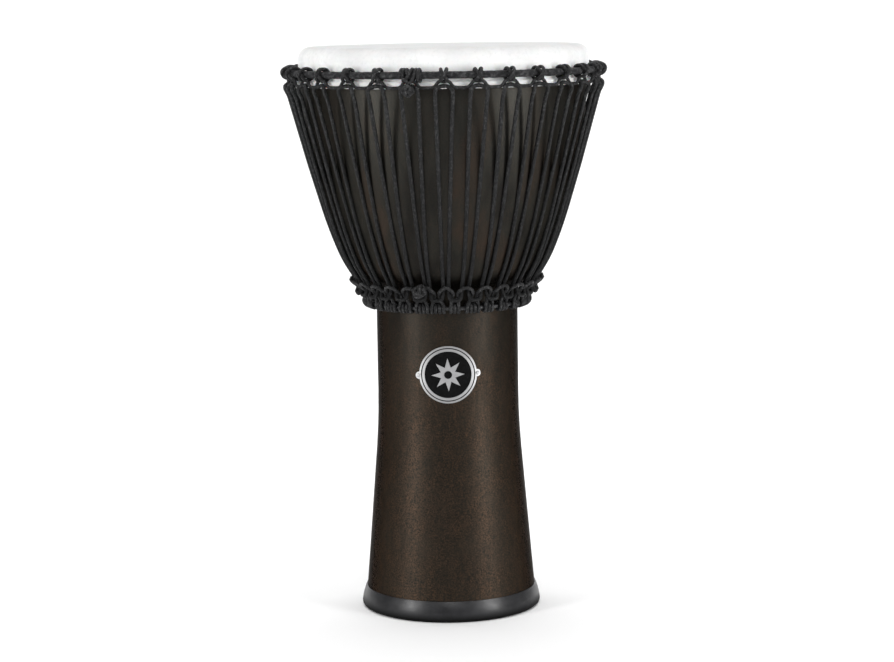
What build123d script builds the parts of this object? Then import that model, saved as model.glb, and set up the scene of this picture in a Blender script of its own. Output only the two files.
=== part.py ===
from build123d import *
import os
from math import cos, radians, sin, sqrt, tan

# A rope-tuned djembe. Millimetres, +Z up, origin at the centre of the foot's rest face,
# front (the badge) towards -Y. Radii are measured from the Z axis.

# Driving dimensions
HEIGHT = 622.0               # floor to playing surface, 24.5 in
HEAD_RADIUS = 158.75         # 12.5 in head
HEAD_SKIN = 1.25
GAP = 0.3                    # running gap between pieces of different bodies
FIT = 0.1                    # gap between pieces fixed to each other
STEM_RADIUS = 78.0
SHELL_WALL = 6.0
SHELL_BASE = 6.0             # the shell stands on the foot ring's floor
STATIONS = 30                # hitches on each ring
PITCH = 360.0 / STATIONS
TUNING_ROPE = 2.3            # rope radii
CRADLE_ROPE = 1.9

# Bowl outline, from the bearing edge down: arc radius (negative is hollow) and turn in degrees
BOWL_ARCS = [(566.2, 14.2), (397.0, 12.3), (50.0, 28.5)]
WAIST_ARC = (-18.0, -55.0)   # hollow arc into the stem
FLARE_START = 240.0          # height where the stem starts to widen
FLARE_ARC = (-741.0, -4.8)

# Bearing edge
EDGE_ROUND = 12.0
EDGE_INNER_ROUND = 4.0
EDGE_DEPTH = 30.0
EDGE_BAND = 14.4

# Rings: radius of the centreline and height
CROWN_RING = (167.5, 594.5)
CROWN_ROD = 3.0
CROWN_SLEEVE = 4.1
LOWER_RING = (88.0, 343.0)
LOWER_ROD = 2.2
HOOP = (161.0, 583.8)
HOOP_ROD = 2.0

# Foot ring
FOOT_RADIUS = 99.6
FOOT_BORE = 86.0
FOOT_TOP = 22.5
FOOT_LIP = 94.7              # outer radius at the top of the foot
FOOT_BULGE = (98.3, 12.0)
FOOT_ROUND = 4.0

# Badge
BADGE_HEIGHT = 270.0
BADGE_TILT = 1.9             # degrees, the right ear up
BADGE_RADIUS = 31.2
BADGE_EAR = 3.9
BADGE_PLATE = 1.6
INLAY_RADIUS = 25.3
INLAY_DEPTH = 0.9            # of the recess in the plate
INLAY_HEIGHT = 0.7
INLAY_FIT = 0.02
GROOVE = (28.2, 29.2)        # inner and outer radius
GROOVE_DEPTH = 0.6
EMBLEM_RADIUS = 18.0
EMBLEM_WAIST = 8.3           # radius of the star's inner corners
EMBLEM_EYE = 4.3
EMBLEM_HEIGHT = 0.7
EMBLEM_POINTS = 8
PIN_RADIUS = 1.2
PIN_HEAD = 2.3
PIN_DOME = 1.0
PIN_FIT = 0.05
PIN_HOLE = 5.0               # depth in the stem's wall
PIN_DEPTH = 4.8
PIN_TURN = 23.5              # degrees from the front to each pin

# Knots, and the ends of their necks: (across, radius, height) at their stations, which are
# counted from the front towards +X
KNOT_RADIUS = 7.0
KNOT_STATION = -1
CROWN_KNOT = (0.0, 178.9, 579.2)
CROWN_KNOT_NECK = (-0.6, 174.6, 589.9)
TAIL_TURN_PLACE = 0.208      # in pitches from the knotted station
LOWER_KNOT_STATION = -1.29
LOWER_KNOT = (0.0, 109.6, 364.0)
LOWER_KNOT_NECK = (1.6, 104.0, 365.8)


def walk(steps, start, offset=0.0):
    """Edges of a tangent chain in the XZ plane, shifted outward by offset.

    A step is an arc (radius, turn) or ("z", height), a straight run down to that height,
    or ("line", length). The angle is the outline's lean from the vertical, in degrees.
    """
    r, z = start
    lean = 0.0
    edges = []
    for kind, value in steps:
        out = Vector(cos(radians(lean)), 0, -sin(radians(lean)))
        here = Vector(r, 0, z) + out * offset
        if kind in ("line", "z"):
            down = Vector(-sin(radians(lean)), 0, -cos(radians(lean)))
            if kind == "line":
                length = value
            else:
                length = (here.Z - value) / cos(radians(lean))
            r = r + down.X * length
            z = z + down.Z * length
            edges.append(Line(here, Vector(r, 0, z) + out * offset))
        else:
            centre = Vector(r, 0, z) - out * kind
            half = radians(lean + value / 2)
            lean = lean + value
            end = Vector(cos(radians(lean)), 0, -sin(radians(lean)))
            mid = Vector(cos(half), 0, -sin(half))
            edges.append(
                ThreePointArc(here, centre + mid * (kind + offset), centre + end * (kind + offset))
            )
            r = (centre + end * kind).X
            z = (centre + end * kind).Z
    return edges


WALL_TOP = (HEAD_RADIUS - HEAD_SKIN - GAP, 606.9)


def waist_run():
    """Length of the straight run that brings the bowl in to the stem's radius."""
    edges = walk(BOWL_ARCS, WALL_TOP)
    radius, turn = WAIST_ARC
    hollow = -radius * (1 - cos(radians(turn)))
    return ((edges[-1] @ 1).X - hollow - STEM_RADIUS) / sin(radians(-turn))


BOWL_STEPS = BOWL_ARCS + [("line", waist_run()), WAIST_ARC, ("z", FLARE_START), FLARE_ARC]


def turned(edges):
    """Solid of revolution about Z from a closed outline in the XZ plane."""
    return revolve(make_face(Curve() + edges), Axis.Z)


def outline(*points):
    """Straight edges through (radius, height) points, open."""
    corners = [(r, 0, z) for r, z in points]
    return [Line(a, b) for a, b in zip(corners, corners[1:])]


def arc(start, middle, end):
    """An arc through three (radius, height) points."""
    return ThreePointArc(*[(r, 0, z) for r, z in (start, middle, end)])


def stem_radius(height):
    """Outer radius of the stem's cone at a height below the flare."""
    edges = walk(BOWL_STEPS + [("z", height)], WALL_TOP)
    return (edges[-1] @ 1).X


def bearing_edge():
    """Thickened rim with a rounded crest under the head's shoulder."""
    outer = WALL_TOP[0]
    lap = outer - SHELL_WALL / 2
    crest = HEIGHT - HEAD_SKIN - GAP
    shoulder = crest - EDGE_ROUND
    crown = outer - EDGE_ROUND
    inner = crown - EDGE_INNER_ROUND
    diagonal = cos(radians(45))
    rise = EDGE_ROUND * diagonal
    drop = EDGE_INNER_ROUND * (1 - diagonal)
    edges = [
        arc((outer, shoulder), (crown + rise, shoulder + rise), (crown, crest)),
        arc((crown, crest), (inner + drop, crest - drop), (inner, crest - EDGE_INNER_ROUND)),
    ]
    wall = outer - SHELL_WALL
    edges += outline(
        (inner, crest - EDGE_INNER_ROUND),
        (inner, crest - EDGE_BAND),
        (wall, crest - EDGE_DEPTH),
        (lap, crest - EDGE_DEPTH),
        (lap, WALL_TOP[1]),
        (outer, WALL_TOP[1]),
        (outer, shoulder),
    )
    return turned(edges)


def shell():
    steps = BOWL_STEPS + [("z", SHELL_BASE)]
    outer = walk(steps, WALL_TOP)
    inner = walk(steps, WALL_TOP, -SHELL_WALL)
    caps = [Line(outer[0] @ 0, inner[0] @ 0), Line(outer[-1] @ 1, inner[-1] @ 1)]
    body = turned(outer + inner + caps) + bearing_edge()
    for pin in pin_places():
        body -= pin * Cylinder(PIN_RADIUS + PIN_FIT, 2 * PIN_HOLE)
    return body


def foot_ring():
    wall = stem_radius(FOOT_TOP) + FIT
    base = stem_radius(SHELL_BASE) + FIT
    flat = FOOT_RADIUS - FOOT_ROUND
    corner = FOOT_ROUND * (1 - cos(radians(45)))
    edges = [
        arc((flat, 0), (FOOT_RADIUS - corner, corner), (FOOT_RADIUS, FOOT_ROUND)),
        arc((FOOT_RADIUS, FOOT_ROUND), FOOT_BULGE, (FOOT_LIP, FOOT_TOP)),
    ]
    edges += outline(
        (FOOT_LIP, FOOT_TOP),
        (wall, FOOT_TOP),
        (base, SHELL_BASE),
        (FOOT_BORE, SHELL_BASE),
        (FOOT_BORE, 0),
        (flat, 0),
    )
    return turned(edges)


def ring(centreline, rod):
    radius, height = centreline
    return Pos(0, 0, height) * Torus(radius, rod)


def sleeve(centreline, inner, outer):
    return ring(centreline, outer) - ring(centreline, inner)


def head():
    """Disc, rounded shoulder, collar and the pocket folded round the hoop."""
    outer = HEAD_RADIUS
    inner = outer - HEAD_SKIN
    crown = outer - HEAD_SKIN - GAP - EDGE_ROUND
    top = HEIGHT
    under = HEIGHT - HEAD_SKIN
    shoulder = HEIGHT - HEAD_SKIN - GAP - EDGE_ROUND
    diagonal = cos(radians(45))
    big = (outer - crown) * diagonal
    small = (inner - crown) * diagonal
    edges = [
        arc((crown, top), (crown + big, shoulder + big), (outer, shoulder)),
        arc((crown, under), (crown + small, shoulder + small), (inner, shoulder)),
    ]
    edges += outline((0, under), (0, top), (crown, top))
    edges += outline((crown, under), (0, under))
    edges += outline((inner, shoulder), (inner, HOOP[1]), (outer, HOOP[1]), (outer, shoulder))
    pocket = HOOP_ROD + GAP
    return turned(edges) + ring(HOOP, pocket + HEAD_SKIN) - ring(HOOP, pocket)


def placed(point, station):
    """A point (across, radius, height) of a hitch, turned to its station."""
    across, radius, height = point
    return Vector(across, -radius, height).rotate(Axis.Z, station * PITCH)


def bend_radii(points):
    """The largest bends that the runs leave room for."""
    radii = []
    for before, here, after in zip(points, points[1:], points[2:]):
        turn = (here - before).get_angle(after - here)
        run = min((here - before).length, (after - here).length)
        radii.append(0.45 * run / tan(radians(turn) / 2))
    return radii


def rope_path(points):
    return FilletPolyline(*points, radius=bend_radii(points))


def rope(path, radius):
    start = Plane(origin=path @ 0, z_dir=path % 0)
    return sweep(start * Circle(radius), path=path)


# Hitch of the crown's cradle rope: up from the line, twice round the ring, and down again
CROWN_LEG = [(11.4, 169.0, 583.0), (8.3, 169.6, 587.6)]
# Hitch of the lower cradle rope, which stands on its ring
LOWER_LEG = [(4.0, 105.0, 366.2), (2.0, 96.4, 362.4)]
TURN_SHIFT = 4.4             # from one turn on a ring to the next
EXIT_SHIFT = 2.4             # where the second turn leaves the ring


def turns(centreline, reach, up, across):
    """Two square turns of rope round a ring, starting and ending towards the leg side."""
    radius, height = centreline
    near = height - up * reach
    far = height + up * reach
    front = radius + reach
    back = radius - reach
    shift = across / 4
    route = []
    for turn in (0, 1):
        left = across * (turn - 0.75)
        route.append((left - shift, front, near))
        route.append((left, front, far))
        route.append((left + shift, back, far))
        route.append((left + 2 * shift, back, near))
    return route


def hitch_route(leg, centreline, reach, up, station):
    """One station of a cradle rope, from the middle of one line to the next."""
    left = [(-across, r, z) for across, r, z in leg]
    radius, height = centreline
    last = (TURN_SHIFT - 0.8, radius + EXIT_SHIFT, height - up * reach)
    local = left + turns(centreline, reach, up, TURN_SHIFT) + [last] + leg[::-1]
    points = [placed(point, station) for point in local]
    before = placed(leg[0], station - 1)
    after = placed(left[0], station + 1)
    return [(points[0] + before) / 2] + points + [(points[-1] + after) / 2]


def looped(points, radius, times):
    """A closed rope: one part of it, repeated round the Z axis and joined end to end."""
    piece = rope(rope_path(points), radius)
    pieces = [piece.rotate(Axis.Z, 360.0 / times * i) for i in range(times)]
    return pieces[0].fuse(*pieces[1:])


def cradle(leg, centreline, reach, up, phase):
    """A cradle rope with a hitch at every station."""
    return looped(hitch_route(leg, centreline, reach, up, phase), CRADLE_ROPE, STATIONS)


def crown_cradle_rope():
    return cradle(CROWN_LEG, CROWN_RING, CROWN_SLEEVE + FIT + CRADLE_ROPE, 1, 0)


def lower_cradle_rope():
    return cradle(LOWER_LEG, LOWER_RING, LOWER_ROD + FIT + CRADLE_ROPE, -1, 0.5)


# Tuning rope: the ends of one run, at the crown turn and at the next waist turn
CROWN_TURN = [(3.6, 169.0, 583.4), (8.6, 173.6, 580.8), (9.0, 173.2, 576.4), (9.0, 169.6, 570.4)]
WAIST_TURN = [(-7.1, 96.6, 362.2), (-5.6, 99.6, 353.2)]
BOWL_GAP = 0.2               # between the tuning rope and the bowl
# Stretches of the bowl that a run bends round: arc, and the lean at its two ends
BOWL_BENDS = [(1, 14.2, 20.4), (1, 20.4, 26.5), (2, 26.5, 46.0)]


def bowl_centre(index):
    """Centre (radius, height) of one of the bowl's arcs."""
    lean = 0.0
    r, z = WALL_TOP
    for radius, turn in BOWL_ARCS[: index + 1]:
        centre = (r - radius * cos(radians(lean)), z + radius * sin(radians(lean)))
        lean += turn
        r = centre[0] + radius * cos(radians(lean))
        z = centre[1] - radius * sin(radians(lean))
    return centre


def bowl_corner(index, start, end):
    """Where the tangents at two leans of a bowl arc meet, out at the rope's centreline."""
    r, z = bowl_centre(index)
    reach = BOWL_ARCS[index][0] + TUNING_ROPE + BOWL_GAP
    reach = reach / cos(radians(end - start) / 2)
    middle = radians(start + end) / 2
    return (r + reach * cos(middle), z - reach * sin(middle))


def tuning_half():
    """From the top of a crown turn, down the bowl, to the bottom of the next waist turn."""
    top = [placed(p, 0) for p in CROWN_TURN]
    bottom = [placed(p, 0.5) for p in WAIST_TURN]
    start, end = top[-1], bottom[0]
    corners = []
    for bend in BOWL_BENDS:
        r, z = bowl_corner(*bend)
        share = (start.Z - z) / (start.Z - end.Z)
        across = start.X + (end.X - start.X) * share
        corners.append(Vector(across, -sqrt(r * r - across * across), z))
    return top + corners + bottom


def mirrored(points):
    """The same run on the other side of the station, from its far end."""
    return [Vector(-p.X, p.Y, p.Z) for p in reversed(points)]


def tuning_rope():
    """One continuous rope: 64 runs between the crown's turns and the waist's turns."""
    half = tuning_half()
    _, radius, height = WAIST_TURN[-1]
    low_point = placed((0, radius, height), 0.5)
    return looped(mirrored(half + [low_point]) + half + [low_point], TUNING_ROPE, STATIONS)


def tail_turns():
    """Two turns of the cradle rope's tail, one each side of the knotted station."""
    reach = CROWN_SLEEVE + FIT + CRADLE_ROPE
    loops = []
    for side in (-1, 1):
        station = KNOT_STATION + side * TAIL_TURN_PLACE
        along = Vector(1, 0, 0).rotate(Axis.Z, station * PITCH)
        plane = Plane(origin=placed((0, *CROWN_RING), station), z_dir=along)
        loops.append(plane * Torus(reach, CRADLE_ROPE))
    return Compound(children=loops)


def knot(place, neck_end, station):
    """A knot drawn up to a ball, and the short neck that ties it to its rope."""
    centre = placed(place, station)
    neck = placed(neck_end, station) - centre
    plane = Plane(origin=centre + neck / 2, z_dir=neck)
    return Pos(*centre) * Sphere(KNOT_RADIUS) + plane * Cylinder(CRADLE_ROPE, neck.length)


def crown_knot():
    return knot(CROWN_KNOT, CROWN_KNOT_NECK, KNOT_STATION)


def lower_knot():
    return knot(LOWER_KNOT, LOWER_KNOT_NECK, LOWER_KNOT_STATION)


def pin_places():
    """The two pin places: frames on the stem's surface that face outward."""
    places = []
    for side in (-1, 1):
        out = Vector(0, -1, 0).rotate(Axis.Z, side * PIN_TURN)
        height = BADGE_HEIGHT + side * BADGE_RADIUS * sin(radians(BADGE_TILT))
        places.append(Plane(origin=out * STEM_RADIUS + Vector(0, 0, height), z_dir=out))
    return places


def badge_band(sketch, inner, outer):
    """What a sketch on the badge's plane cuts from the front of a sleeve round the stem."""
    plane = Plane(origin=(0, 0, BADGE_HEIGHT), x_dir=(1, 0, 0), z_dir=(0, -1, 0))
    tall = 3 * BADGE_RADIUS
    band = Pos(0, 0, BADGE_HEIGHT) * (Cylinder(outer, tall) - Cylinder(inner, tall))
    tilted = plane * (Rot(0, 0, BADGE_TILT) * sketch)
    return extrude(tilted, 2 * STEM_RADIUS, dir=(0, -1, 0)) & band


def badge_plate():
    """Curved plate with two ears, a grooved bezel and a recess for the inlay."""
    back = STEM_RADIUS + FIT
    front = back + BADGE_PLATE
    above = front + BADGE_PLATE
    ears = [Pos(side * BADGE_RADIUS, 0) * Circle(BADGE_EAR) for side in (-1, 1)]
    plate = badge_band(Circle(BADGE_RADIUS) + ears, back, front)
    groove = Circle(GROOVE[1]) - Circle(GROOVE[0])
    plate -= badge_band(groove, front - GROOVE_DEPTH, above)
    plate -= badge_band(Circle(INLAY_RADIUS + FIT), front - INLAY_DEPTH, above)
    for pin in pin_places():
        plate -= pin * Cylinder(PIN_RADIUS + PIN_FIT, 4 * BADGE_PLATE)
    return plate


def badge_inlay():
    floor = STEM_RADIUS + FIT + BADGE_PLATE - INLAY_DEPTH + INLAY_FIT
    return badge_band(Circle(INLAY_RADIUS), floor, floor + INLAY_HEIGHT)


def badge_emblem():
    """An eight-pointed star with a round eye, raised on the inlay."""
    inlay_top = STEM_RADIUS + FIT + BADGE_PLATE - INLAY_DEPTH + INLAY_FIT + INLAY_HEIGHT
    base = inlay_top + INLAY_FIT
    points = []
    for i in range(2 * EMBLEM_POINTS):
        reach = EMBLEM_WAIST if i % 2 else EMBLEM_RADIUS
        turn = radians(180.0 / EMBLEM_POINTS * i)
        points.append((reach * cos(turn), reach * sin(turn)))
    star = Polygon(*points, align=None) - Circle(EMBLEM_EYE)
    return badge_band(star, base, base + EMBLEM_HEIGHT)


def badge_pins():
    """Two drive pins with domed heads, through the ears and into the stem's wall."""
    seat = FIT + BADGE_PLATE + PIN_FIT
    dome = (PIN_HEAD**2 + PIN_DOME**2) / (2 * PIN_DOME)
    pins = []
    for place in pin_places():
        shank = Pos(0, 0, (seat - PIN_DEPTH) / 2) * Cylinder(PIN_RADIUS, seat + PIN_DEPTH)
        cap = Pos(0, 0, seat + PIN_DOME - dome) * Sphere(dome)
        cap &= Pos(0, 0, seat + PIN_DOME / 2) * Cylinder(PIN_HEAD, PIN_DOME)
        pins.append(place * (shank + cap))
    return Compound(children=pins)


def save(name, shape):
    export_step(shape, f"parts/{name}.step")


def main():
    os.makedirs("parts", exist_ok=True)
    save("shell", shell())
    save("foot_ring", foot_ring())
    save("head", head())
    save("flesh_hoop", ring(HOOP, HOOP_ROD))
    save("crown_ring", ring(CROWN_RING, CROWN_ROD))
    save("crown_ring_wrap", sleeve(CROWN_RING, CROWN_ROD + FIT, CROWN_SLEEVE))
    save("crown_cradle_rope", crown_cradle_rope())
    save("crown_tail_turns", tail_turns())
    save("crown_knot", crown_knot())
    save("tuning_rope", tuning_rope())
    save("lower_ring", ring(LOWER_RING, LOWER_ROD))
    save("lower_cradle_rope", lower_cradle_rope())
    save("lower_knot", lower_knot())
    save("badge_plate", badge_plate())
    save("badge_inlay", badge_inlay())
    save("badge_emblem", badge_emblem())
    save("badge_pins", badge_pins())


if __name__ == "__main__":
    main()
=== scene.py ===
from math import atan2, ceil, cos, pi, radians, sin, sqrt

import bpy
import numpy as np
from mathutils import Matrix, Vector


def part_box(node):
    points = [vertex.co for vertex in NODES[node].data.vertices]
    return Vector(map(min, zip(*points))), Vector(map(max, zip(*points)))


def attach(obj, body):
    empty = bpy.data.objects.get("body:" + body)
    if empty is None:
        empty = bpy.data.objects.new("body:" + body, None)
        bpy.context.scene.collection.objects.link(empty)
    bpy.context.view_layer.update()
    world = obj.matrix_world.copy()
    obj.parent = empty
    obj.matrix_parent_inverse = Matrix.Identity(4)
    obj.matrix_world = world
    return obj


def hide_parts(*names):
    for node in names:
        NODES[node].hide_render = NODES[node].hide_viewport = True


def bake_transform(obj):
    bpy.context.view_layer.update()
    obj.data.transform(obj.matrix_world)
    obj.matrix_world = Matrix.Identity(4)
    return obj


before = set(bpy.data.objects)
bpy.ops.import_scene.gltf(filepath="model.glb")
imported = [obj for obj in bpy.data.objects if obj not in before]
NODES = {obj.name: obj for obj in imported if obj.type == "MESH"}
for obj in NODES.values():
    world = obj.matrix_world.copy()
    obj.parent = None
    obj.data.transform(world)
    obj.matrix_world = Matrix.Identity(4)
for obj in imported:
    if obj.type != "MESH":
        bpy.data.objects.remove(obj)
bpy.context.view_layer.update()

# The drum's looks, in metres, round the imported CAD. The drum stands on Z 0 with its badge
# towards -Y. A local place on a rope is (across, radius, height) in millimetres at a station,
# and stations are counted from the front towards +X.

MM = 0.001
STATIONS = 30
PITCH = 2 * pi / STATIONS
TUNING_ROPE = 2.3            # rope radii, mm
CRADLE_ROPE = 1.9
SIDES = 16                   # vertices round a rope
BRAID_ROW = 0.45             # spacing of the rows of vertices along a rope, in radii
BRAID_DEPTH = 0.19           # of the grooves between strands, in radii
ROPE_GAP = 0.3               # between the tuning rope and the bowl, mm
KNOT_STATION = -1
LOWER_KNOT_STATION = -1.29
FULL_COILS = (1, 6, 11, 12, 18, 22, 26, 27, 28, 29)   # waist hitches with a fourth turn


def ring_of(node):
    """Centreline radius, height and rod radius of a ring in the frame, in mm."""
    low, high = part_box(node)
    rod = (high.z - low.z) / 2
    return (high.x - rod) / MM, (low.z + high.z) / 2 / MM, rod / MM


CROWN = ring_of("crown_ring")
CROWN_COVER = ring_of("crown_ring_wrap")[2]
LOWER = ring_of("lower_ring")
HOOP = ring_of("flesh_hoop")
HEAD_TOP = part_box("head")[1].z / MM
HEAD_RADIUS = 158.75         # of the playing end, mm
HEAD_SKIN = 1.25             # its thickness, mm
HEAD_EDGE = 12.0             # the rounding inside it, mm
BADGE_GROOVE = (28.2, 29.2)  # inner and outer radius, mm
HEAD_TOP_PAINTED_SHADE = 0.58        # of the playing face, painted grey as shade, darker than the collar

# Sideways drift of the hitches from their even places, in stations
rng = np.random.default_rng(7)
CROWN_DRIFT = rng.normal(0, 0.035, STATIONS)
WAIST_DRIFT = rng.normal(0, 0.045, STATIONS)
WAIST_SAG = rng.normal(0, 0.9, STATIONS)              # of the arch after each waist hitch, mm


# ---------------------------------------------------------------- camera, lights, stage

CAMERA_DISTANCE = 2.62
CAMERA_HEIGHT = 0.671
CAMERA_PITCH = radians(-7.915)
CAMERA_ROLL = radians(-0.85)
CAMERA_SIDE = -0.0005
LENS = 96.0


def make_camera():
    data = bpy.data.cameras.new("camera")
    data.lens = LENS
    data.sensor_width = 36.0
    data.clip_start = 0.05
    data.clip_end = 60.0
    camera = bpy.data.objects.new("camera", data)
    bpy.context.scene.collection.objects.link(camera)
    camera.location = (CAMERA_SIDE, -CAMERA_DISTANCE, CAMERA_HEIGHT)
    turn = Matrix.Rotation(pi / 2 + CAMERA_PITCH, 4, "X") @ Matrix.Rotation(CAMERA_ROLL, 4, "Z")
    camera.rotation_euler = turn.to_euler()
    bpy.context.scene.camera = camera


def area_light(name, place, target, size, power, colour=(1, 1, 1)):
    data = bpy.data.lights.new(name, "AREA")
    data.shape = "RECTANGLE"
    data.size, data.size_y = size
    data.energy = power
    data.color = colour
    light = bpy.data.objects.new(name, data)
    bpy.context.scene.collection.objects.link(light)
    light.location = place
    aim = Vector(target) - Vector(place)
    light.rotation_euler = aim.to_track_quat("-Z", "Y").to_euler()


def make_lights():
    area_light("softbox_left", (-2.1, -1.5, 0.75), (0, 0, 0.35), (0.6, 1.9), 40)
    area_light("softbox_right", (2.1, -1.5, 0.75), (0, 0, 0.35), (0.6, 1.9), 46)
    area_light("front_fill", (0, -2.4, 1.9), (0, 0, 0.6), (0.8, 0.8), 14)
    area_light("overhead", (0, 0.3, 3.0), (0, 0.3, 0.0), (3.0, 3.0), 66)
    area_light("backdrop_light", (0, 1.2, 3.6), (0, 4.0, 1.2), (5.0, 1.0), 110)
    world = bpy.data.worlds.new("studio")
    world.use_nodes = True
    background = world.node_tree.nodes["Background"]
    background.inputs["Color"].default_value = (1, 1, 1, 1)
    background.inputs["Strength"].default_value = 0.13
    bpy.context.scene.world = world
    bpy.context.scene.view_settings.view_transform = "Standard"


def make_floor():
    """A pale floor that sweeps up behind the drum."""
    depth, bend, tall, half = 4.0, 1.2, 5.0, 9.0
    profile = [(-8.0, 0.0), (depth - bend, 0.0)]
    profile += [
        (depth - bend + bend * sin(t), bend - bend * cos(t)) for t in np.linspace(0, pi / 2, 13)[1:]
    ]
    profile.append((depth, tall))
    verts = [(x, y, z) for y, z in profile for x in (-half, half)]
    faces = [(2 * i, 2 * i + 1, 2 * i + 3, 2 * i + 2) for i in range(len(profile) - 1)]
    mesh = bpy.data.meshes.new("floor")
    mesh.from_pydata(verts, [], faces)
    mesh.shade_smooth()
    floor = bpy.data.objects.new("floor", mesh)
    bpy.context.scene.collection.objects.link(floor)
    floor.location.z = -0.0002
    paper = Material("pale_paper")
    paper.set("Base Color", (0.93, 0.93, 0.93, 1))
    paper.set("Roughness", 0.9)
    mesh.materials.append(paper.material)


# ---------------------------------------------------------------- materials

class Material:
    """A node material built from a Principled BSDF."""

    def __init__(self, name):
        self.material = bpy.data.materials.new(name)
        self.material.use_nodes = True
        self.nodes = self.material.node_tree.nodes
        self.links = self.material.node_tree.links
        self.shader = self.nodes["Principled BSDF"]

    def set(self, socket, value):
        self.shader.inputs[socket].default_value = value

    def link(self, source, target):
        self.links.new(source, target)

    def node(self, kind, settings=None, **inputs):
        made = self.nodes.new("ShaderNode" + kind)
        for name, value in (settings or {}).items():
            setattr(made, name, value)
        for name, value in inputs.items():
            self.feed(made.inputs[name.replace("_", " ")], value)
        return made

    def feed(self, socket, value):
        if isinstance(value, bpy.types.NodeSocket):
            self.link(value, socket)
        else:
            socket.default_value = value

    def place(self, stretch=(1, 1, 1)):
        """Object coordinates, stretched."""
        coords = self.node("TexCoord").outputs["Object"]
        mapping = self.node("Mapping", Vector=coords, Scale=stretch)
        return mapping.outputs["Vector"]

    def noise(self, scale, detail=3.0, roughness=0.55, at=None):
        at = self.place() if at is None else at
        made = self.node("TexNoise", Vector=at, Scale=scale, Detail=detail, Roughness=roughness)
        return made.outputs["Fac"]

    def height(self):
        """Height above the floor, in metres."""
        return self.node("SeparateXYZ", Vector=self.node("TexCoord").outputs["Object"]).outputs["Z"]

    def cells(self, scale, at=None):
        at = self.place() if at is None else at
        made = self.node("TexVoronoi", Vector=at, Scale=scale)
        return made.outputs["Distance"]

    def ramp(self, value, low, high, start=0.0, end=1.0):
        """A value carried from the range low..high to start..end."""
        made = self.node("MapRange", Value=value)
        made.inputs["From Min"].default_value = low
        made.inputs["From Max"].default_value = high
        made.inputs["To Min"].default_value = start
        made.inputs["To Max"].default_value = end
        return made.outputs["Result"]

    def mix(self, share, first, second, blend="MIX"):
        made = self.node("Mix", {"data_type": "RGBA", "blend_type": blend})
        self.feed(made.inputs["Factor"], share)
        self.feed(made.inputs[6], first)
        self.feed(made.inputs[7], second)
        return made.outputs[2]

    def math(self, operation, first, second=0.0):
        made = self.node("Math", {"operation": operation})
        self.feed(made.inputs[0], first)
        self.feed(made.inputs[1], second)
        return made.outputs[0]

    def bump(self, height, strength, distance):
        made = self.node("Bump", Height=height, Strength=strength, Distance=distance)
        self.link(made.outputs["Normal"], self.shader.inputs["Normal"])

    def colour(self, value):
        self.feed(self.shader.inputs["Base Color"], value)

    def rough(self, value):
        self.feed(self.shader.inputs["Roughness"], value)


def shell_material():
    """Dark antique copper film on a moulded shell, with a fine leathery grain, painted shade on the bowl
    under the ropes and painted light near the bowl's top.
    """
    m = Material("antique_copper_shell")
    grain = m.noise(620, 4.0, 0.65)
    blotch = m.noise(38, 3.0, 0.6)
    streak = m.noise(160, 2.0, 0.5, m.place((1, 1, 0.35)))
    height = m.height()
    dark = (0.0145, 0.0155, 0.0135, 1)
    copper = (0.086, 0.050, 0.031, 1)
    mid = (0.033, 0.027, 0.021, 1)
    spots = m.ramp(grain, 0.38, 0.72)
    base = m.mix(spots, dark, copper)
    base = m.mix(m.ramp(blotch, 0.30, 0.72, 0.0, 0.65), base, mid)
    base = m.mix(m.ramp(streak, 0.35, 0.7, 0.0, 0.35), base, dark)
    patch = m.noise(21, 3.0, 0.6, m.place((1, 1, 0.3)))
    olive_painted_light_and_shade = m.mix(m.ramp(patch, 0.36, 0.48), (0.012, 0.0125, 0.012, 1), (0.022, 0.022, 0.0195, 1))
    olive_painted_light_and_shade = m.mix(m.ramp(patch, 0.50, 0.66, 0.0, 0.85), olive_painted_light_and_shade, (0.040, 0.028, 0.021, 1))
    # Painted light: near its top the bowl is lightened towards a pale grey.
    olive_painted_light_and_shade = m.mix(m.ramp(height, 0.47, 0.56, 0.0, 0.6), olive_painted_light_and_shade, (0.042, 0.042, 0.038, 1))
    # Painted shade: above the stem the shell turns to the darker olive tone, standing in for the shade
    # under the ropes. The olive patches themselves are the film's own tone.
    base = m.mix(m.ramp(height, 0.22, 0.40, 0.0, 0.82), base, olive_painted_light_and_shade)
    m.colour(base)
    m.set("Metallic", 0.9)
    m.set("Specular IOR Level", 0.1)
    m.set("Specular Tint", (0.34, 0.34, 0.34, 1))
    m.rough(m.ramp(grain, 0.3, 0.7, 0.48, 0.37))
    pits = m.cells(780)
    m.bump(m.math("ADD", m.math("MULTIPLY", grain, 0.8), m.math("MULTIPLY", pits, 0.5)), 0.28, 0.0003)
    return m.material


def rubber_material():
    """Satin charcoal rubber, with painted shade darkening its lowest few millimetres."""
    m = Material("charcoal_rubber")
    cloud = m.noise(60, 3.0, 0.6)
    fine = m.noise(1500, 2.0, 0.5)
    height = m.height()
    base = m.mix(m.ramp(cloud, 0.3, 0.7), (0.011, 0.011, 0.012, 1), (0.020, 0.020, 0.022, 1))
    # Painted shade: the lowest millimetres of the ring are darkened towards black.
    m.colour(m.mix(m.ramp(height, 0.003, 0.009, 1.0, 0.0), base, (0.004, 0.004, 0.004, 1)))
    m.rough(m.math("ADD", m.ramp(cloud, 0.3, 0.7, 0.29, 0.40), m.ramp(height, 0.004, 0.012, 0.3, 0.0)))
    m.feed(m.shader.inputs["Specular IOR Level"], m.ramp(height, 0.003, 0.016, 0.07, 0.44))
    m.bump(m.math("ADD", m.math("MULTIPLY", fine, 0.4), cloud), 0.10, 0.0004)
    return m.material


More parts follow.
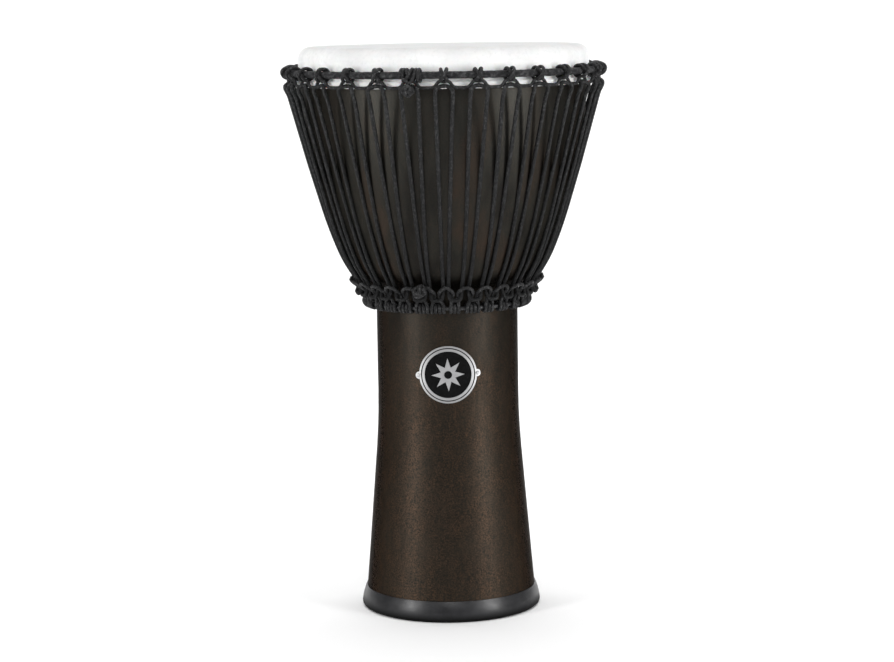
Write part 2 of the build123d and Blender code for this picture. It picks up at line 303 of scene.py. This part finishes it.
def head_material():
    """White synthetic skin, faintly mottled, with painted shade greying the playing face."""
    m = Material("white_head")
    cloud = m.noise(26, 4.0, 0.6)
    fleck = m.noise(240, 3.0, 0.65)
    height = m.height()
    base = m.mix(m.ramp(cloud, 0.35, 0.68), (0.86, 0.86, 0.857, 1), (0.97, 0.97, 0.965, 1))
    base = m.mix(m.ramp(fleck, 0.50, 0.72, 0.0, 0.5), base, (0.76, 0.76, 0.76, 1))
    # Painted shade: the shoulder and playing face are greyed towards the top.
    top = HEAD_TOP * MM
    shade = m.ramp(height, top - 0.016, top - 0.0004, 1.0, HEAD_TOP_PAINTED_SHADE)
    base = m.mix(1.0, base, m.node("CombineXYZ", X=shade, Y=shade, Z=shade).outputs[0], "MULTIPLY")
    m.colour(base)
    m.rough(m.ramp(fleck, 0.3, 0.7, 0.55, 0.70))
    m.set("Specular IOR Level", 0.02)
    m.set("Subsurface Weight", 0.08)
    m.set("Subsurface Scale", 0.002)
    m.bump(m.math("ADD", fleck, m.math("MULTIPLY", m.noise(900), 0.4)), 0.12, 0.0003)
    return m.material


def rope_material(name, dark, light, low_painted_shade=0.0):
    """Black braid: painted shade darkens the grooves between the strands, painted glints light the
    strand crests, painted shade darkens the lower lacing, and each strand has fine yarns.
    """
    m = Material(name)
    relief = m.node("Attribute", {"attribute_name": "relief"}).outputs["Fac"]
    along = m.node("UVMap", {"uv_map": "along"}).outputs["UV"]
    yarn = m.node("TexWave", {"wave_type": "BANDS", "bands_direction": "DIAGONAL"})
    m.link(m.node("Mapping", Vector=along, Scale=(1400, 26, 1)).outputs["Vector"], yarn.inputs["Vector"])
    yarn.inputs["Scale"].default_value = 1.0
    yarn.inputs["Distortion"].default_value = 1.5
    fuzz = m.noise(2600, 2.0, 0.6)
    worn = m.noise(60, 2.0, 0.5)
    painted_glints = m.noise(420, 2.0, 0.6)
    painted_glint_colour = tuple(2.8 * c for c in light[:3]) + (1,)
    # Painted shade: the grooves (low relief) take the dark colour, the crests the light one.
    base = m.mix(m.ramp(relief, 0.15, 0.95), dark, light)
    base = m.mix(m.ramp(fuzz, 0.35, 0.7, 0.0, 0.45), base, dark)
    base = m.mix(m.ramp(worn, 0.45, 0.75, 0.0, 0.4), base, light)
    # Painted highlight: bright glints are painted on the strand crests.
    base = m.mix(m.math("MULTIPLY", m.ramp(painted_glints, 0.50, 0.68), relief), base, painted_glint_colour)
    height = m.height()
    # Painted shade: the lower part of the rope is darkened.
    base = m.mix(m.ramp(height, 0.38, 0.57, low_painted_shade, 0.0), base, dark)
    m.colour(base)
    m.rough(m.ramp(fuzz, 0.3, 0.7, 0.50, 0.72))
    m.set("Specular IOR Level", 0.15)
    m.bump(m.math("ADD", m.math("MULTIPLY", yarn.outputs["Fac"], 0.5), fuzz), 0.35, 0.0002)
    return m.material


def wrap_material():
    """Black woven tape with loose fibres, and painted shade in the steps between its laps."""
    m = Material("fibrous_wrap")
    relief = m.node("Attribute", {"attribute_name": "relief"}).outputs["Fac"]
    along = m.node("UVMap", {"uv_map": "along"}).outputs["UV"]
    weave = m.node("TexWave", {"wave_type": "BANDS", "bands_direction": "X"})
    m.link(m.node("Mapping", Vector=along, Scale=(900, 40, 1)).outputs["Vector"], weave.inputs["Vector"])
    weave.inputs["Scale"].default_value = 1.0
    weave.inputs["Distortion"].default_value = 6.0
    weave.inputs["Detail"].default_value = 2.0
    fuzz = m.noise(1400, 4.0, 0.7)
    patches = m.noise(260, 3.0, 0.65)
    base = m.mix(m.ramp(fuzz, 0.35, 0.72), (0.008, 0.008, 0.009, 1), (0.052, 0.052, 0.054, 1))
    base = m.mix(m.ramp(patches, 0.50, 0.64, 0.0, 0.75), base, (0.085, 0.085, 0.086, 1))
    base = m.mix(m.ramp(patches, 0.34, 0.46, 0.75, 0.0), base, (0.006, 0.006, 0.006, 1))
    # Painted shade: the steps between the tape laps are darkened.
    base = m.mix(m.ramp(relief, 0.0, 0.5, 0.5, 0.0), base, (0.010, 0.010, 0.010, 1))
    m.colour(base)
    m.rough(m.ramp(fuzz, 0.3, 0.7, 0.65, 0.85))
    m.set("Specular IOR Level", 0.12)
    m.bump(m.math("ADD", weave.outputs["Fac"], m.math("MULTIPLY", fuzz, 1.4)), 0.5, 0.0003)
    return m.material


def metal_material(name, colour, roughness, scratch=0.12, groove=None):
    """Brushed metal with light wear, and a dark groove round the badge between two radii."""
    m = Material(name)
    brush = m.noise(900, 2.0, 0.6, m.place((0.12, 1, 1)))
    cloud = m.noise(140, 3.0, 0.6)
    worn = tuple(0.72 * c for c in colour[:3]) + (1,)
    base = m.mix(m.ramp(cloud, 0.35, 0.75, 0.0, 0.5), colour, worn)
    m.set("Metallic", 1.0)
    rough = m.ramp(m.math("ADD", brush, cloud), 0.7, 1.3, roughness, roughness + 0.16)
    if groove:
        low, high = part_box("badge_inlay")
        flat = m.node("VectorMath", {"operation": "MULTIPLY"}).inputs
        m.link(m.node("TexCoord").outputs["Object"], flat[0])
        flat[1].default_value = (1, 0, 1)
        away = m.node("VectorMath", {"operation": "DISTANCE"})
        m.link(flat[0].node.outputs[0], away.inputs[0])
        away.inputs[1].default_value = (0, 0, (low.z + high.z) / 2)
        middle, half = (groove[0] + groove[1]) / 2 * MM, (groove[1] - groove[0]) / 2 * MM
        off = m.math("ABSOLUTE", m.math("SUBTRACT", away.outputs["Value"], middle))
        line = m.ramp(off, half, half + 0.15 * MM, 1.0, 0.0)
        base = m.mix(line, base, (0.01, 0.01, 0.01, 1))
        rough = m.math("MAXIMUM", rough, m.math("MULTIPLY", line, 0.7))
    m.colour(base)
    m.rough(rough)
    m.bump(brush, scratch, 0.0001)
    return m.material


def enamel_material():
    """Gloss black enamel."""
    m = Material("black_enamel")
    cloud = m.noise(300, 3.0, 0.6)
    m.colour(m.mix(m.ramp(cloud, 0.3, 0.7), (0.003, 0.003, 0.003, 1), (0.006, 0.006, 0.0065, 1)))
    m.rough(m.ramp(cloud, 0.3, 0.7, 0.16, 0.26))
    m.set("Specular IOR Level", 0.05)
    m.bump(cloud, 0.04, 0.0001)
    return m.material


def coated_material():
    """Black coated steel."""
    m = Material("black_coated_steel")
    cloud = m.noise(200, 3.0, 0.6)
    m.colour(m.mix(m.ramp(cloud, 0.3, 0.7), (0.010, 0.010, 0.011, 1), (0.022, 0.022, 0.024, 1)))
    m.rough(m.ramp(cloud, 0.3, 0.7, 0.35, 0.5))
    m.bump(m.noise(1200), 0.10, 0.0001)
    return m.material


# ---------------------------------------------------------------- ropes

def at_station(point, station, drift):
    """A local place turned to its station, which has drifted from its even place."""
    across, radius, height = point
    turn = station * PITCH + drift * PITCH + across / radius
    return np.array((radius * sin(turn), -radius * cos(turn), height))


def loop_line(corners, samples=8):
    """A closed smooth line that touches the middle of each run between its corners."""
    here = np.asarray(corners, float)
    before, after = np.roll(here, 1, axis=0), np.roll(here, -1, axis=0)
    t = np.linspace(0, 1, samples, endpoint=False)[None, :, None]
    line = (1 - t) ** 2 * before[:, None] + (1 + 2 * t - 2 * t * t) * here[:, None]
    line = (line + t * t * after[:, None]) / 2
    return line.reshape(-1, 3)


def even(line, count):
    """The closed line's points, count of them, evenly spaced."""
    ends = np.vstack([line, line[:1]])
    run = np.r_[0, np.cumsum(np.linalg.norm(np.diff(ends, axis=0), axis=1))]
    places = np.linspace(0, run[-1], count, endpoint=False)
    return np.stack([np.interp(places, run, ends[:, i]) for i in range(3)], axis=1), run[-1]


def sections(line):
    """Two unit vectors across a closed line at each point, without twist, and closing up."""
    ahead = np.roll(line, -1, axis=0) - np.roll(line, 1, axis=0)
    ahead /= np.linalg.norm(ahead, axis=1)[:, None]
    side = np.cross(ahead[0], (0.0, 0.0, 1.0))
    side /= np.linalg.norm(side)
    first = side
    sides = [side]
    for i in range(1, len(line) + 1):
        direction = ahead[i % len(line)]
        side = side - direction * np.dot(side, direction)
        side = side / sqrt(np.dot(side, side))
        sides.append(side)
    last = sides.pop()
    off = atan2(np.dot(np.cross(last, first), ahead[0]), np.dot(last, first))
    sides = np.array(sides)
    others = np.cross(ahead, sides)
    turn = off * np.arange(len(line))[:, None] / len(line)
    return np.cos(turn) * sides + np.sin(turn) * others, np.cos(turn) * others - np.sin(turn) * sides


def add_mesh(name, verts, quads, uvs, relief, material, extra_faces=()):
    """A smooth mesh with a UV map and a relief value at each vertex."""
    mesh = bpy.data.meshes.new(name)
    faces = [tuple(q) for q in quads.tolist()] + [tuple(f) for f in extra_faces]
    mesh.from_pydata(verts.tolist(), [], faces)
    layer = mesh.uv_layers.new(name="along")
    full = np.zeros((len(mesh.loops), 2), np.float32)
    full[: len(uvs)] = uvs
    layer.data.foreach_set("uv", full.ravel())
    attribute = mesh.attributes.new("relief", "FLOAT", "POINT")
    attribute.data.foreach_set("value", np.asarray(relief, np.float32))
    mesh.shade_smooth()
    mesh.materials.append(material)
    made = bpy.data.objects.new(name, mesh)
    bpy.context.scene.collection.objects.link(made)
    return made


def grid_faces(rows, columns, closed_rows=True):
    """Quads of a grid that closes round its columns, and round its rows if asked."""
    last = rows if closed_rows else rows - 1
    i, j = np.meshgrid(np.arange(last), np.arange(columns), indexing="ij")
    i2, j2 = (i + 1) % rows, (j + 1) % columns
    quads = np.stack([i * columns + j, i2 * columns + j, i2 * columns + j2, i * columns + j2], axis=-1)
    uvs = np.stack([np.stack([i, j], -1), np.stack([i + 1, j], -1),
                    np.stack([i + 1, j + 1], -1), np.stack([i, j + 1], -1)], axis=-2)
    return quads.reshape(-1, 4), uvs.reshape(-1, 2).astype(float)


def braided(name, line, radius, material, parts=1):
    """A closed braided rope along a line in mm, cut into parts of equal length."""
    row = BRAID_ROW * radius                  # four rows of vertices to each pair of braid rows
    _, length = even(line, 8)
    count = 4 * parts * ceil(length / row / 4 / parts)
    points, length = even(line, count)
    side, other = sections(points)
    turn = 2 * pi * np.arange(SIDES) / SIDES
    rows = np.arange(count)
    relief = 0.5 + 0.5 * np.cos(8 * turn)[None, :] * np.cos(pi / 2 * rows)[:, None]
    reach = radius * (1.0 - BRAID_DEPTH * (1 - relief))
    verts = points[:, None] + reach[..., None] * (
        np.cos(turn)[None, :, None] * side[:, None] + np.sin(turn)[None, :, None] * other[:, None]
    )
    made = []
    share = count // parts
    for part in range(parts):
        picked = (np.arange(share + 1) + part * share) % count if parts > 1 else rows
        quads, uvs = grid_faces(len(picked), SIDES, parts == 1)
        uvs = uvs * (length * MM / count, 1 / SIDES)
        title = name if parts == 1 else f"{name}_{part + 1}"
        caps = []
        if parts > 1:
            end = len(picked) * SIDES
            caps = [list(range(SIDES))[::-1], list(range(end - SIDES, end))]
        made.append(add_mesh(title, verts[picked].reshape(-1, 3) * MM, quads, uvs,
                             relief[picked].ravel(), material, [c[::-1] for c in caps]))
    return made


# ---------------------------------------------------------------- crown and lower cradles

def ring_point(ring, cover, up, across, turn, lift=0.0):
    """A corner of a rope's turn round a ring. Turn runs in degrees from the front, over the
    side away from the legs."""
    reach = (cover + CRADLE_ROPE + 0.05 + lift) / cos(radians(22.5))
    return (across, ring[0] + reach * cos(radians(turn)), ring[1] + up * reach * sin(radians(turn)))


def clove(ring, cover):
    """The crown's hitch: two turns whose ends cross in an X on the ring's front."""
    half = 3.0
    route = [(-1.15, -58, 0.5), (-0.62, -24, 2.2), (0.35, 14, 3.3), (0.95, 52, 1.2)]
    route += [(1.0, turn, 0.0) for turn in (95, 140, 185, 230)]
    route += [(1.1, 272, 0.0), (1.05, 306, 0.1), (0.5, 338, 0.2), (-0.4, 374, 0.2)]
    route += [(-1.0, turn, 0.0) for turn in (412, 455, 500, 545, 590)]
    route += [(-0.75, 628, 0.0), (0.6, 660, 0.5)]
    return [ring_point(ring, cover, 1, half * a, turn, lift) for a, turn, lift in route]


def coil(ring, cover, count):
    """The waist's hitch: turns side by side, with the legs on top."""
    route = []
    for turn in range(-45, 360 * count, 45):
        place = (turn + 45) / 360
        step = min(int(place), count - 1)
        slip = max(0.0, (place - step - 0.72) / 0.28) if step < count - 1 else 0.0
        route.append((4.2 * (step - (count - 1) / 2 + slip), turn, 0.9 * sin(pi * slip)))
    return [ring_point(ring, cover, -1, a, turn, lift) for a, turn, lift in route]


CROWN_LEG = [(4.4, 169.2, 588.4), (6.8, 169.6, 586.4), (8.8, 169.5, 583.4), (11.2, 169.0, 581.7)]
LOWER_LEG = [(3.4, 93.4, 353.4), (1.9, 96.8, 359.4), (3.2, 101.6, 362.6), (6.4, 105.6, 365.8)]


def cradle_line(hitches, legs, phase, drift, middle, sag):
    """The closed line of a cradle rope: a hitch at each station, and an arch after it whose
    middle stands sag above its even height."""
    corners = []
    for k in range(STATIONS):
        local = [(-a, r, z) for a, r, z in reversed(legs)] + hitches[k] + legs
        corners += [at_station(p, k + phase, drift[k]) for p in local]
        follow = drift[(k + 1) % STATIONS]
        arch = (middle[0], middle[1], middle[2] + sag[k])
        corners.append(at_station(arch, k + phase + 0.5, (drift[k] + follow) / 2))
    return loop_line(corners)


def crown_cradle_line():
    hitches = [clove(CROWN, CROWN_COVER)] * STATIONS
    return cradle_line(hitches, CROWN_LEG, 0, CROWN_DRIFT, (0, 169.0, 581.5), [0] * STATIONS)


def lower_cradle_line():
    counts = [4 if k in FULL_COILS else 3 for k in range(STATIONS)]
    hitches = [coil(LOWER, LOWER[2], count) for count in counts]
    return cradle_line(hitches, LOWER_LEG, 0.5, WAIST_DRIFT, (0, 106.4, 367.4), WAIST_SAG)


# ---------------------------------------------------------------- tuning rope

CROWN_TURN = [(3.6, 169.0, 583.4), (8.6, 173.6, 580.8), (9.0, 173.2, 576.4), (9.0, 169.6, 570.4)]
WAIST_TURN = [(-7.1, 96.6, 362.2), (-5.6, 99.6, 353.2)]


def taut_run(start, end):
    """(radius, height) places of a rope pulled taut over the bowl between two places."""
    co = np.array([v.co for v in NODES["shell"].data.vertices]) / MM
    radius = np.hypot(co[:, 0], co[:, 1])
    z = co[:, 2]
    picked = (z < start[1]) & (z > end[1]) & (radius > 78.5)
    rings = {}
    for r, h in zip(radius[picked], z[picked]):
        key = round(float(h), 1)
        rings[key] = max(rings.get(key, 0.0), float(r))
    heights = np.array(sorted(rings))
    radii = np.array([rings[h] for h in heights])
    slope = np.gradient(radii, heights)
    lean = np.arctan(slope)
    reach = TUNING_ROPE + ROPE_GAP
    off = np.stack([radii + reach * np.cos(lean), heights - reach * np.sin(lean)], 1)
    off = off[(off[:, 1] < start[1] - 1) & (off[:, 1] > end[1] + 1)]
    order = off[np.argsort(off[:, 1])]
    hull = [np.array(end, float)]
    for p in list(order) + [np.array(start, float)]:
        while len(hull) > 1:
            a, b = hull[-2], hull[-1]
            if (b[0] - a[0]) * (p[1] - a[1]) - (b[1] - a[1]) * (p[0] - a[0]) <= 0:
                hull.pop()
            else:
                break
        hull.append(p)
    hull = np.array(hull)
    heights = np.linspace(start[1], end[1], 28)
    return np.stack([np.interp(heights, hull[:, 1], hull[:, 0]), heights], 1)


def tuning_line():
    """One continuous rope, with two runs to each station, between the crown and the waist."""
    run = taut_run(CROWN_TURN[-1][1:], WAIST_TURN[0][1:])
    corners = []
    for k in range(STATIONS):
        crown, waist, following = CROWN_DRIFT[k], WAIST_DRIFT[k], CROWN_DRIFT[(k + 1) % STATIONS]
        corners += [at_station(p, k, crown) for p in CROWN_TURN[:-1]]
        top = (k + crown) * PITCH + CROWN_TURN[-1][0] / CROWN_TURN[-1][1]
        low = (k + 0.5 + waist) * PITCH + WAIST_TURN[0][0] / WAIST_TURN[0][1]
        corners += run_places(run, top, low)
        corners += [at_station(p, k + 0.5, waist) for p in WAIST_TURN[1:]]
        corners.append(at_station((0, *WAIST_TURN[-1][1:]), k + 0.5, waist))
        corners += [at_station((-a, r, z), k + 0.5, waist) for a, r, z in reversed(WAIST_TURN[1:])]
        top = (k + 1 + following) * PITCH - CROWN_TURN[-1][0] / CROWN_TURN[-1][1]
        low = (k + 0.5 + waist) * PITCH - WAIST_TURN[0][0] / WAIST_TURN[0][1]
        corners += run_places(run, top, low)[::-1]
        corners += [at_station((-a, r, z), k + 1, following) for a, r, z in reversed(CROWN_TURN[:-1])]
    return loop_line(corners, 4)


def run_places(run, top, low):
    """A run's places, turning evenly from one angle at its top to another at its foot."""
    turn = np.interp(np.arange(len(run)), (0, len(run) - 1), (top, low))
    return [np.array((r * sin(t), -r * cos(t), z)) for (r, z), t in zip(run, turn)]


# ---------------------------------------------------------------- knots and extra turns

def open_tube(name, line, radius, material):
    """A braided rope along an open line in mm, closed by rounded ends."""
    run = np.r_[0, np.cumsum(np.linalg.norm(np.diff(line, axis=0), axis=1))]
    row = BRAID_ROW * radius
    count = 4 * ceil(run[-1] / row / 4) + 1
    places = np.linspace(0, run[-1], count)
    points = np.stack([np.interp(places, run, line[:, i]) for i in range(3)], axis=1)
    ahead = np.gradient(points, axis=0)
    ahead /= np.linalg.norm(ahead, axis=1)[:, None]
    side = np.cross(ahead[0], (0.12, 0.3, 1.0))
    sides = []
    for direction in ahead:
        side = side - direction * np.dot(side, direction)
        side = side / np.linalg.norm(side)
        sides.append(side)
    sides = np.array(sides)
    others = np.cross(ahead, sides)
    turn = 2 * pi * np.arange(SIDES) / SIDES
    relief = 0.5 + 0.5 * np.cos(8 * turn)[None, :] * np.cos(pi / 2 * np.arange(count))[:, None]
    ends = np.minimum(places, run[-1] - places) / radius
    taper = np.sqrt(np.clip(1 - (1 - np.clip(ends, 0.03, 1)) ** 2, 0, 1))
    reach = radius * taper[:, None] * (1.0 - BRAID_DEPTH * (1 - relief))
    verts = points[:, None] + reach[..., None] * (
        np.cos(turn)[None, :, None] * sides[:, None] + np.sin(turn)[None, :, None] * others[:, None]
    )
    quads, uvs = grid_faces(count, SIDES, False)
    uvs = uvs * (run[-1] * MM / count, 1 / SIDES)
    end = count * SIDES
    caps = [list(range(SIDES)), list(range(end - SIDES, end))[::-1]]
    return add_mesh(name, verts.reshape(-1, 3) * MM, quads, uvs, relief.ravel(), material, caps)


def knot_piece(name, node, station, lean, size, material):
    """A knot drawn up to a woven ball, where the frame has its own."""
    low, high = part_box(node)
    centre = np.array(((low.x + high.x) / 2, (low.y + high.y) / 2, low.z + 0.007)) / MM
    t = np.linspace(0, 2 * pi, 480, endpoint=False)
    round_it, tilt = 3 * t, radians(58) * np.sin(5 * t)
    reach = size * (4.6 + 0.75 * np.sin(10 * t))
    ball = np.stack([reach * np.cos(tilt) * np.cos(round_it), reach * np.cos(tilt) * np.sin(round_it),
                     reach * np.sin(tilt)], 1)
    tip = Matrix.Rotation(station * PITCH, 3, "Z") @ Matrix.Rotation(radians(lean), 3, "Y")
    return braided(name, ball @ np.array(tip).T + centre, size * 1.75, material)[0]


def extra_turns(material):
    """Turns of the rope's tail on the crown ring, each side of the knotted hitch."""
    corners = []
    k = KNOT_STATION
    drift = CROWN_DRIFT[k % STATIONS]
    for turn in range(-30, 700, 45):
        across = np.interp(turn, (-30, 330, 700), (-9.6, -6.2, -5.6))
        corners.append(at_station(ring_point(CROWN, CROWN_COVER, 1, across, turn), k, drift))
    for across, turn, lift in ((-3.4, -28, 2.6), (0, -42, 5.4), (3.6, -36, 3.4), (5.8, 10, 0.6)):
        corners.append(at_station(ring_point(CROWN, CROWN_COVER, 1, across, turn, lift), k, drift))
    for turn in range(60, 700, 45):
        across = np.interp(turn, (60, 420, 700), (6.2, 9.8, 10.4))
        corners.append(at_station(ring_point(CROWN, CROWN_COVER, 1, across, turn), k, drift))
    here = np.array(corners)
    dense = []
    for i in range(1, len(here) - 1):
        for t in np.linspace(0, 1, 8, endpoint=False):
            dense.append(((1 - t) ** 2 * here[i - 1] + (1 + 2 * t - 2 * t * t) * here[i]
                          + t * t * here[i + 1]) / 2)
    return open_tube("crown_tail", np.array(dense), CRADLE_ROPE, material)


# ---------------------------------------------------------------- wrap and head

def wrap_piece(material):
    """The crown ring's sleeve of overlapping tape."""
    around, length = 20, 900
    u = 2 * pi * np.arange(length) / length
    v = 2 * pi * np.arange(around) / around
    uu, vv = np.meshgrid(u, v, indexing="ij")
    laps = 96
    phase = (laps * uu + vv) / (2 * pi) % 1.0
    lap = np.where(phase < 0.86, 0.35 + 0.65 * phase / 0.86, 0.35 + 0.65 * (1 - phase) / 0.14)
    wander = 0.5 + 0.2 * np.sin(37 * uu + 2 * vv) + 0.15 * np.sin(61 * uu - 3 * vv)
    wander += 0.15 * np.sin(143 * uu + vv)
    reach = CROWN_COVER - 0.38 * (1 - lap) - 0.34 * wander
    r = CROWN[0] + reach * np.cos(vv)
    verts = np.stack([r * np.sin(uu), -r * np.cos(uu), CROWN[1] + reach * np.sin(vv)], -1)
    quads, uvs = grid_faces(length, around)
    uvs = uvs * (2 * pi * CROWN[0] * MM / length, 1 / around)
    return add_mesh("ring_wrap", verts.reshape(-1, 3) * MM, quads, uvs, lap.ravel(), material)


def head_piece(material):
    """The skin: disc, rounded shoulder, collar, and the pocket folded round the hoop."""
    skin, edge = HEAD_SKIN, HEAD_EDGE
    pocket = HOOP[2] + 0.3
    outer = HEAD_RADIUS
    crown = outer - skin - 0.3 - edge
    shoulder = HEAD_TOP - skin - 0.3 - edge
    big = outer - crown
    profile = [(r, HEAD_TOP) for r in np.linspace(0, crown, 24)]
    bends = np.radians(np.linspace(0, 90, 15))[1:]
    profile += [(crown + big * sin(t), shoulder + big * cos(t)) for t in bends]
    profile += [(outer, z) for z in np.linspace(shoulder, HOOP[1] + 4.9, 8)[1:]]
    reach = pocket + skin
    start = 130
    profile += [
        (HOOP[0] + reach * cos(radians(t)), HOOP[1] + reach * sin(radians(t)))
        for t in np.linspace(start, -180, 40)
    ]
    inner = outer - skin
    profile += [(inner, HOOP[1] + 1.0)]
    profile += [(inner, z) for z in np.linspace(HOOP[1] + 6.0, shoulder, 6)]
    small = inner - crown
    profile += [(crown + small * cos(t), shoulder + small * sin(t)) for t in bends]
    profile += [(crown * (1 - s), HEAD_TOP - skin) for s in np.linspace(0, 1, 12)[1:]]
    around = 288
    turn = 2 * pi * np.arange(around) / around
    verts, kept = [(0.0, 0.0, HEAD_TOP)], profile[1:-1]
    for r, z in kept:
        verts += [(r * sin(t), -r * cos(t), z) for t in turn]
    verts.append((0.0, 0.0, HEAD_TOP - skin))
    quads, uvs = grid_faces(len(kept), around, False)
    uvs = uvs * (0.01, 1 / around)
    quads = quads + 1
    last = len(verts) - 1
    fans = [(0, 1 + j, 1 + (j + 1) % around) for j in range(around)]
    base = 1 + (len(kept) - 1) * around
    fans += [(last, base + (j + 1) % around, base + j) for j in range(around)]
    relief = np.ones(len(verts))
    return add_mesh("drum_head", np.array(verts) * MM, quads, uvs, relief, material, fans)


# ---------------------------------------------------------------- assembly

def paint(node, material):
    """Gives a CAD node its material."""
    mesh = NODES[node].data
    mesh.materials.clear()
    mesh.materials.append(material)


def build():
    # The last value of the tuning braid is the share of painted shade on the lower lacing.
    rope = rope_material("tuning_braid", (0.0035, 0.0035, 0.0038, 1), (0.032, 0.0325, 0.033, 1), 0.65)
    cord = rope_material("cradle_braid", (0.0025, 0.0025, 0.0027, 1), (0.037, 0.037, 0.038, 1))
    steel = metal_material("plain_steel", (0.42, 0.42, 0.43, 1), 0.34)
    silver = metal_material("badge_silver", (0.47, 0.47, 0.475, 1), 0.27, 0.16, BADGE_GROOVE)
    plain_silver = metal_material("emblem_silver", (0.50, 0.50, 0.51, 1), 0.30)

    paint("shell", shell_material())
    paint("foot_ring", rubber_material())
    paint("flesh_hoop", steel)
    paint("crown_ring", steel)
    paint("lower_ring", coated_material())
    paint("badge_plate", silver)
    paint("badge_inlay", enamel_material())
    paint("badge_emblem", plain_silver)
    paint("badge_pins", plain_silver)

    head = head_piece(head_material())
    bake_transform(head)
    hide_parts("head")

    wrap = wrap_piece(wrap_material())
    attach(wrap, "crown")
    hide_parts("crown_ring_wrap")

    cradle = braided("crown_cradle", crown_cradle_line(), CRADLE_ROPE, cord)[0]
    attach(cradle, "crown")
    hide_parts("crown_cradle_rope")

    tail = extra_turns(cord)
    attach(tail, "crown")
    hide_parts("crown_tail_turns")

    knot = knot_piece("crown_cradle_knot", "crown_knot", KNOT_STATION, 35, 1.04, cord)
    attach(knot, "crown")
    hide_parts("crown_knot")

    for part in braided("lacing", tuning_line(), TUNING_ROPE, rope, parts=4):
        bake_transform(part)
        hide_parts("tuning_rope")

    lower = braided("lower_cradle", lower_cradle_line(), CRADLE_ROPE + 0.05, cord)[0]
    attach(lower, "shell")
    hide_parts("lower_cradle_rope")

    waist = knot_piece("waist_knot", "lower_knot", LOWER_KNOT_STATION, -30, 1.2, cord)
    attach(waist, "shell")
    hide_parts("lower_knot")


make_camera()
make_lights()
make_floor()
build()
